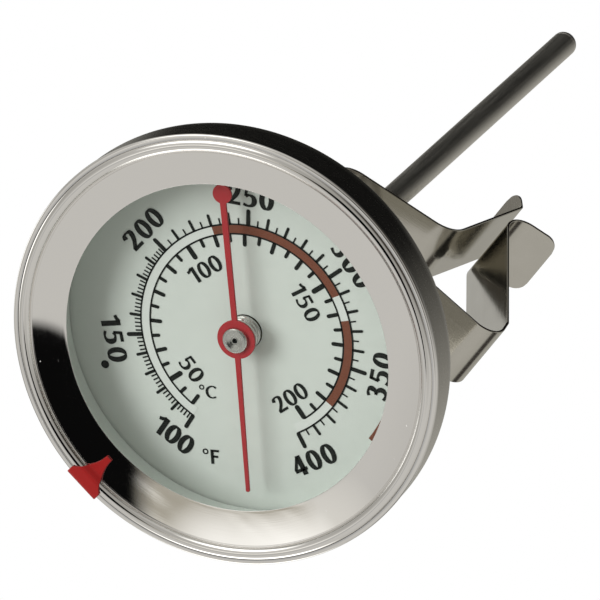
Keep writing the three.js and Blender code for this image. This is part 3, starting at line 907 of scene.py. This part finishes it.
def pointer_outline():
    """One outline round the tip, the eye, the tail and its ball, in order."""
    eye, ball, tail, tip = 3.0, 1.5, 22.6, 23.93
    root, end, tail_root, tail_end = 0.44, 0.31, 0.44, 0.5
    bend = 1.2  # the tail isn't quite in line with the tip
    knob = Matrix.Rotation(math.radians(bend), 2) @ Vector((-tail, 0))
    eye_turn = math.degrees(math.asin(root / eye))
    tail_turn = math.degrees(math.asin(tail_root / eye))
    ball_turn = math.degrees(math.asin(tail_end / ball))
    outline = [(tip - 0.15, -end), (tip, -end + 0.12), (tip, end - 0.12), (tip - 0.15, end)]
    outline += circle_arc(0, 0, eye, eye_turn, 180 + bend - tail_turn, 30)
    outline += circle_arc(knob.x, knob.y, ball, bend + ball_turn, bend + 360 - ball_turn, 30)
    outline += circle_arc(0, 0, eye, 180 + bend + tail_turn, 360 - eye_turn, 30)
    return outline


def pointer():
    top = level("pointer_needle", 1)
    low = level("pointer_needle", 0)
    blank = make_piece(
        "pointer_fine", plate([pointer_outline()], low, top), "pointer", "pointer",
        ["pointer_needle"], azimuth=POINTER_AZIMUTH,
    )
    add_bevel(blank, 0.08)
    hub_top = level("pointer_hub", 1)
    bore, barrel, head = 0.6, 0.95, 1.95
    outline = rounded([
        (bore, low),
        (barrel, low),
        (barrel, top + 0.02),
        (head, top + 0.02),
        (head, hub_top, 0.28),
        (1.3, hub_top, 0.3),
        (0.78, hub_top - 0.16, 0.2),
        (bore, hub_top - HUB_DISH),
    ], closed=True)
    make_piece("pointer_rivet", lathe(outline, segments=SMALL_SEGMENTS), "nickel", "pointer",
               ["pointer_hub"])
    spindle(low, top, hub_top - HUB_DISH)


def spindle(needle_low, needle_top, reach):
    """The shaft, with a hole in its thicker end whose inside faces carry black ink as painted
    shade.
    """
    foot = level("spindle", 0)
    rod, thicker, hole = 0.4, 0.58, 0.4
    outline = rounded([
        (0, foot),
        (rod, foot),
        (rod, needle_low - 0.3),
        (thicker, needle_low - 0.1),
        (thicker, reach, 0.06),
        (hole, reach, 0.05),
        (hole, needle_top + 0.08),
        (0, needle_top + 0.06),
    ])
    shaft = make_piece("spindle_fine", lathe(outline, closed=False, segments=64), "nickel",
                       "pointer", ["spindle"])
    # black ink on the faces inside the hole is painted shade, not print
    shaft.data.materials.append(MATERIALS["black_ink"])
    painted_shade_r, painted_shade_top = 0.42, reach - 0.06
    for polygon in shaft.data.polygons:
        inside = math.hypot(polygon.center.x, polygon.center.y) < painted_shade_r * MM
        in_hole = needle_top * MM < polygon.center.z < painted_shade_top * MM
        polygon.material_index = int(inside and in_hole)


def stem():
    bottom, top = level("stem_tube", 0), level("stem_tube", 1)
    tube = rounded([
        (STEM_BORE, bottom),
        (STEM_R, bottom, 0.06),
        (STEM_R, top, 0.1),
        (STEM_BORE, top),
    ], closed=True)
    make_piece("stem_fine", lathe(tube, segments=SMALL_SEGMENTS), "stem", "stem",
               ["stem_tube"])
    head, spigot = 1.3, 1.35
    shoulder = STEM_END + head + 0.24
    nose = [(0, STEM_END), (0.7, STEM_END, 0.1), (STEM_R, STEM_END, 1.15), (STEM_R, shoulder, 0.05)]
    nose += [(spigot, shoulder), (spigot, level("tip_plug", 1)), (0, level("tip_plug", 1))]
    plug = lathe(rounded(nose), closed=False, segments=SMALL_SEGMENTS)
    make_piece("tip_plug_fine", plug, "stem", "stem", ["tip_plug"])


# ---- strips: set marker and pan clip ----


def resample(line, step):
    """The line with extra points, so that none of its spans is longer than step."""
    result = []
    for a, b in zip(line, line[1:]):
        a, b = Vector(a), Vector(b)
        count = max(1, math.ceil((b - a).length / step))
        result += [a.lerp(b, i / count) for i in range(count)]
    result.append(Vector(line[-1]))
    return result


def strip_mesh(line, thickness, half_width_at, edge=0.09):
    """A strip along a line in the XZ plane, with eased edges and a half width that may vary."""
    lengths = [0.0]
    for a, b in zip(line, line[1:]):
        lengths.append(lengths[-1] + (b - a).length)
    total = lengths[-1]
    bm = bmesh.new()
    sections = []
    for i, point in enumerate(line):
        back = line[max(0, i - 1)]
        ahead = line[min(len(line) - 1, i + 1)]
        along = (ahead - back).normalized()
        normal = Vector((-along.y, along.x))
        half = half_width_at(lengths[i], total, point)
        rim = thickness / 2
        right = [(half - edge, rim), (half, rim - edge), (half, edge - rim), (half - edge, -rim)]
        section = right + [(-y, n) for y, n in reversed(right)]
        sections.append([
            bm.verts.new((point.x + normal.x * n, y, point.y + normal.y * n)) for y, n in section
        ])
    for a, b in zip(sections, sections[1:]):
        for k in range(8):
            m = (k + 1) % 8
            bm.faces.new((a[k], b[k], b[m], a[m]))
    bm.faces.new(sections[0])
    bm.faces.new(sections[-1][::-1])
    bmesh.ops.recalc_face_normals(bm, faces=bm.faces)
    return bm


MARKER_THICK = 0.28
MARKER_CLEAR = 0.04
MARKER_WRAP = 42  # degrees that its hook follows the case's back corner
MARKER_TAPER = 2.1  # the power that its sides widen by


def set_marker():
    away = MARKER_CLEAR + MARKER_THICK / 2
    outside = LIP_R + away
    corner_r, corner_z = CASE_R - CASE_CORNER, CASE_BACK + CASE_CORNER
    nose_r, shoulder = 27.3, BEZEL_R - 0.2
    slope = FLANGE_RISE / (FLANGE_R - OPENING_R)
    hook = circle_arc(corner_r, corner_z, CASE_CORNER + away, 0, -MARKER_WRAP, 12)
    path = rounded([
        (nose_r, (nose_r - OPENING_R) * slope + away),
        (FLANGE_R - 0.4, FLANGE_RISE + away, 1.0),
        (FLANGE_R + 0.4, BEAD_TOP + away, 0.8),
        (outside, BEAD_TOP + away - 0.1, 0.9),
        (outside, corner_z + 0.5),
    ])
    line = resample(path + hook, 0.25)
    nose_half, wide_half = 0.5, 2.9

    def half_width(_, __, point):
        share = (point.x - nose_r) / (shoulder - nose_r)
        if share >= 1 or point.y < 0:
            return wide_half
        return nose_half + (wide_half - nose_half) * max(0.0, share) ** MARKER_TAPER

    strip = strip_mesh(line, MARKER_THICK, half_width)
    make_piece("set_marker_fine", strip, "marker", "marker", ["set_marker"],
               azimuth=MARKER_AZIMUTH)


LOOP_TOP = -44.5
LOOP_END = (26.35, -50.7)
CLIP_CORNERS = [
    (*LOOP_END, 0),
    (27.05, LOOP_TOP, 3.6),
    (-8.0, LOOP_TOP, 4.3),
    (-8.0, -54.45, 4.3),
    (10.85, -59.95, 5.5),
    (15.1, -80.1, 0.9),
    (12.55, -84.3, 0),
]
OUTER_JAW_CORNERS = [
    (*LOOP_END, 0),
    (13.9, -76.7, 4.0),
    (23.1, -79.4, 0),
]
FLARE_CORNER = 3.4
TAB_CORNER = 2.2
DRILL_LENGTH = 30


def strip_line(corners):
    return resample(rounded(corners, step=4.0), 0.5)


def fine_end(line, corner):
    """The line with closer points over its last stretch, where the end's corners are rounded."""
    end = line[-1]
    near = [i for i, p in enumerate(line) if (p - end).length > corner][-1]
    return line[: near + 1] + resample([tuple(line[near]), tuple(end)], corner / 12)[1:]


def rounded_half_width(corner):
    def half_width(at, total, _):
        left = max(0.0, total - at)
        half = STRIP_WIDTH / 2
        if left >= corner:
            return half
        return half - corner + math.sqrt(max(0.0, corner ** 2 - (corner - left) ** 2))
    return half_width


def drilled(piece, radius):
    """Cuts the stem's hole through a piece."""
    bm = bmesh.new()
    bmesh.ops.create_cone(bm, cap_ends=True, segments=64, radius1=radius * MM,
                          radius2=radius * MM, depth=DRILL_LENGTH * MM)
    drill = new_object("drill", bm)
    drill.location = ORIGIN + Vector((0, 0, LOOP_TOP * MM))
    cut = piece.modifiers.new("stem_hole", "BOOLEAN")
    cut.operation = "DIFFERENCE"
    cut.solver = "EXACT"
    cut.object = drill
    bpy.context.view_layer.update()
    evaluated = piece.evaluated_get(bpy.context.evaluated_depsgraph_get())
    result = bpy.data.meshes.new_from_object(evaluated)
    piece.modifiers.clear()
    piece.data = result
    bpy.data.objects.remove(drill)


def clip_part(name, corners, corner, body, node):
    """A stretch of the clip's strip, with rounded corners at its free end."""
    line = fine_end(strip_line(corners), corner)
    strip = strip_mesh(line, STRIP_THICK, rounded_half_width(corner))
    return make_piece(name, strip, "spring", body, [node])


def pan_clip():
    clip = clip_part("clip_strip", CLIP_CORNERS, FLARE_CORNER, "clip", "pan_clip")
    drilled(clip, STEM_HOLE_R)
    jaw = clip_part("outer_jaw_strip", OUTER_JAW_CORNERS, TAB_CORNER, None, "clip_outer_jaw")
    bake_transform(jaw)


# ---- carried-over CAD nodes ----


def dress_cad_nodes():
    finishes = {
        "brass": ["bushing_nut", "upper_bearing", "lower_bearing", "coil_anchor", "coil_collar"],
        "bimetal": ["bimetal_coil"],
        "rubber": ["lens_gasket", "back_washer"],
    }
    for finish, names in finishes.items():
        for name in names:
            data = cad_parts[name].data
            data.materials.clear()
            data.materials.append(MATERIALS[finish])


# ---- light and backdrop ----

SKY_UP = (0.57, 0.558, 0.53)
SKY_DOWN = (0.44, 0.43, 0.395)
HORIZON_BLEND = 0.6
# round patches of the sky that the steel mirrors: azimuth, elevation, radius, softness in
# degrees, and colour
PATCHES = [
    (75, 62, 32, 16, (0.35, 0.34, 0.315)),
    (-143, 22, 25, 12, (0.38, 0.37, 0.345)),
    (68, 5, 36, 14, (0.035, 0.03, 0.024)),
    (158, 33, 17, 7, (1.8, 1.78, 1.72)),
    (-70, 3, 15, 6, (2.2, 2.18, 2.1)),
    (-107, 1, 9, 4, (0.03, 0.03, 0.028)),
    (-137, -3, 12, 5, (1.7, 1.68, 1.62)),
    (-32, -13, 12, 4, (0.05, 0.045, 0.04)),
    (-142, -42, 14, 5, (0.56, 0.56, 0.545)),
    (-148, -24, 6, 4, (0.2, 0.19, 0.17)),
    (105, -60, 42, 20, (0.006, 0.006, 0.006)),
    (160, -64, 27, 5, (0.006, 0.006, 0.006)),
    (-140, -76, 15, 5, (0.02, 0.02, 0.018)),
    (-97.4, 59.3, 3, 1.0, (0.4, 0.4, 0.395)),
    (-84, 79, 12.2, 0.5, (0.003, 0.003, 0.003)),
    (60, 88, 11, 2, (0.003, 0.003, 0.003)),
    (-127.5, 60, 4.5, 2.5, (0.72, 0.705, 0.66)),
]
BRUSHED = (-123.5, 67.5, 7.2, 1.0)  # a streaked patch
BRUSHED_TURN = (0.0, 0.0, 0.6)
BRUSHED_STRETCH = (5.0, 38.0, 5.0)
BRUSHED_EDGES = (0.47, 0.66)  # the noise values between which a streak goes from dark to light
BRUSHED_DARK = (0.4, 0.375, 0.315)
BRUSHED_LIGHT = (0.85, 0.83, 0.77)
AFTER_BRUSHED = [
    (-132, 68.5, 4.0, 2.0, (1.0, 0.985, 0.94)),
    (-131.5, 62.5, 3.5, 2.0, (1.1, 1.085, 1.04)),
]
# a black card that only reflections see: its middle, its half width and half height, and the
# azimuth that it faces
CARD_MIDDLE = (-22.0, -35.5, -49.0)
CARD_HALF = (32, 29)
CARD_FACES = 40
# soft lamps that light the dial and the paint and aren't mirrored: azimuth and elevation, and
# size in metres and power in watts
LAMPS = [
    (190, 50, 0.8, 10.0),
    (70, 66, 1.4, 1.5),
]
LAMP_DISTANCE = 1.3
FLOOR_DROP = 0.15  # metres below the stem's tip
FLOOR_SIZE = 4


def direction(azimuth, elevation):
    a, e = math.radians(azimuth), math.radians(elevation)
    return Vector((math.cos(a) * math.cos(e), math.sin(a) * math.cos(e), math.sin(e)))


def inside_patch(shade, way, azimuth, elevation, radius, soft):
    """1 inside a round patch of the sky, fading to 0 across its soft edge."""
    dot = shade.add("ShaderNodeVectorMath", {"operation": "DOT_PRODUCT"}, i0=way)
    dot.inputs[1].default_value = direction(azimuth, elevation)
    low = math.cos(math.radians(radius + soft))
    high = math.cos(math.radians(max(0.0, radius - soft)))
    return shade.ramp(dot.outputs["Value"], low, high, 0.0, 1.0)


def studio():
    """A pale sky with bright and dark patches for the steel to mirror. The camera sees white."""
    world = bpy.data.worlds.new("studio")
    bpy.context.scene.world = world
    world.use_nodes = True
    shade = Shade(world.node_tree)
    way = shade.add("ShaderNodeTexCoord").outputs["Generated"]
    height = shade.add("ShaderNodeSeparateXYZ", Vector=way).outputs[2]
    rise = shade.ramp(height, -HORIZON_BLEND, HORIZON_BLEND, 0.0, 1.0)
    colour = shade.mix(rise, (*SKY_DOWN, 1), (*SKY_UP, 1))
    for *place, tint in PATCHES:
        colour = shade.mix(inside_patch(shade, way, *place), colour, (*tint, 1))
    drawn = shade.add("ShaderNodeMapping", Vector=way)
    drawn.inputs["Rotation"].default_value = BRUSHED_TURN
    drawn.inputs["Scale"].default_value = BRUSHED_STRETCH
    streaks = shade.ramp(shade.noise(drawn.outputs[0], 1.0, 3.0), *BRUSHED_EDGES, 0.0, 1.0)
    brushed = shade.mix(streaks, (*BRUSHED_DARK, 1), (*BRUSHED_LIGHT, 1))
    colour = shade.mix(inside_patch(shade, way, *BRUSHED), colour, brushed)
    for *place, tint in AFTER_BRUSHED:
        colour = shade.mix(inside_patch(shade, way, *place), colour, (*tint, 1))
    lit = shade.add("ShaderNodeBackground", Color=colour)
    plain = shade.add("ShaderNodeBackground")
    plain.inputs["Color"].default_value = (1, 1, 1, 1)
    seen = shade.add("ShaderNodeLightPath").outputs["Is Camera Ray"]
    both = shade.add("ShaderNodeMixShader", i0=seen, i1=lit.outputs[0], i2=plain.outputs[0])
    shade.put(shade.add("ShaderNodeOutputWorld").inputs["Surface"], both.outputs[0])
    bpy.context.scene.view_settings.view_transform = "Standard"


def hide_from(thing, *rays):
    """Keeps kinds of ray from seeing an object."""
    for ray in rays:
        setattr(thing, f"visible_{ray}", False)


def soft_lamps():
    for azimuth, elevation, size, power in LAMPS:
        data = bpy.data.lights.new("soft_lamp", "AREA")
        data.shape = "DISK"
        data.size = size
        data.energy = power
        lamp = bpy.data.objects.new("soft_lamp", data)
        bpy.context.scene.collection.objects.link(lamp)
        way = direction(azimuth, elevation)
        lamp.location = ORIGIN + way * LAMP_DISTANCE
        lamp.rotation_euler = way.to_track_quat("Z", "Y").to_euler()
        hide_from(lamp, "glossy", "camera")


def black_card():
    """A card beside the stem, for the clip's faces to mirror."""
    bm = bmesh.new()
    width, height = CARD_HALF
    corners = [(0, -width, -height), (0, width, -height), (0, width, height), (0, -width, height)]
    bm.faces.new([bm.verts.new(Vector(c) * MM) for c in corners])
    card = new_object("black_card", bm)
    card.location = ORIGIN + Vector(CARD_MIDDLE) * MM
    card.rotation_euler.z = math.radians(CARD_FACES)
    card.data.materials.append(principled("card_black", (0.01, 0.01, 0.009), 0.0, 0.9)[0])
    hide_from(card, "camera", "diffuse", "transmission", "shadow")


def pale_floor():
    """A white floor that gives its own light, which only the camera sees, and only from above."""
    bm = bmesh.new()
    bmesh.ops.create_grid(bm, x_segments=1, y_segments=1, size=FLOOR_SIZE)
    floor = new_object("floor", bm)
    floor.location.z = cad_box[0].z - FLOOR_DROP
    material, shade = blank_material("floor_white")
    glow = shade.add("ShaderNodeEmission")
    glow.inputs["Color"].default_value = (1, 1, 1, 1)
    clear = shade.add("ShaderNodeBsdfTransparent")
    under = shade.add("ShaderNodeNewGeometry").outputs["Backfacing"]
    both = shade.add("ShaderNodeMixShader", i0=under, i1=glow.outputs[0], i2=clear.outputs[0])
    shade.put(shade.add("ShaderNodeOutputMaterial").inputs["Surface"], both.outputs[0])
    floor.data.materials.append(material)
    hide_from(floor, "diffuse", "glossy", "transmission", "shadow")


case_shell()
bezel_ring()
window()
dial_surround()
dial_plate()
printed_dial()
stem_bushing()
pointer()
stem()
set_marker()
pan_clip()
dress_cad_nodes()
studio()
soft_lamps()
black_card()
pale_floor()
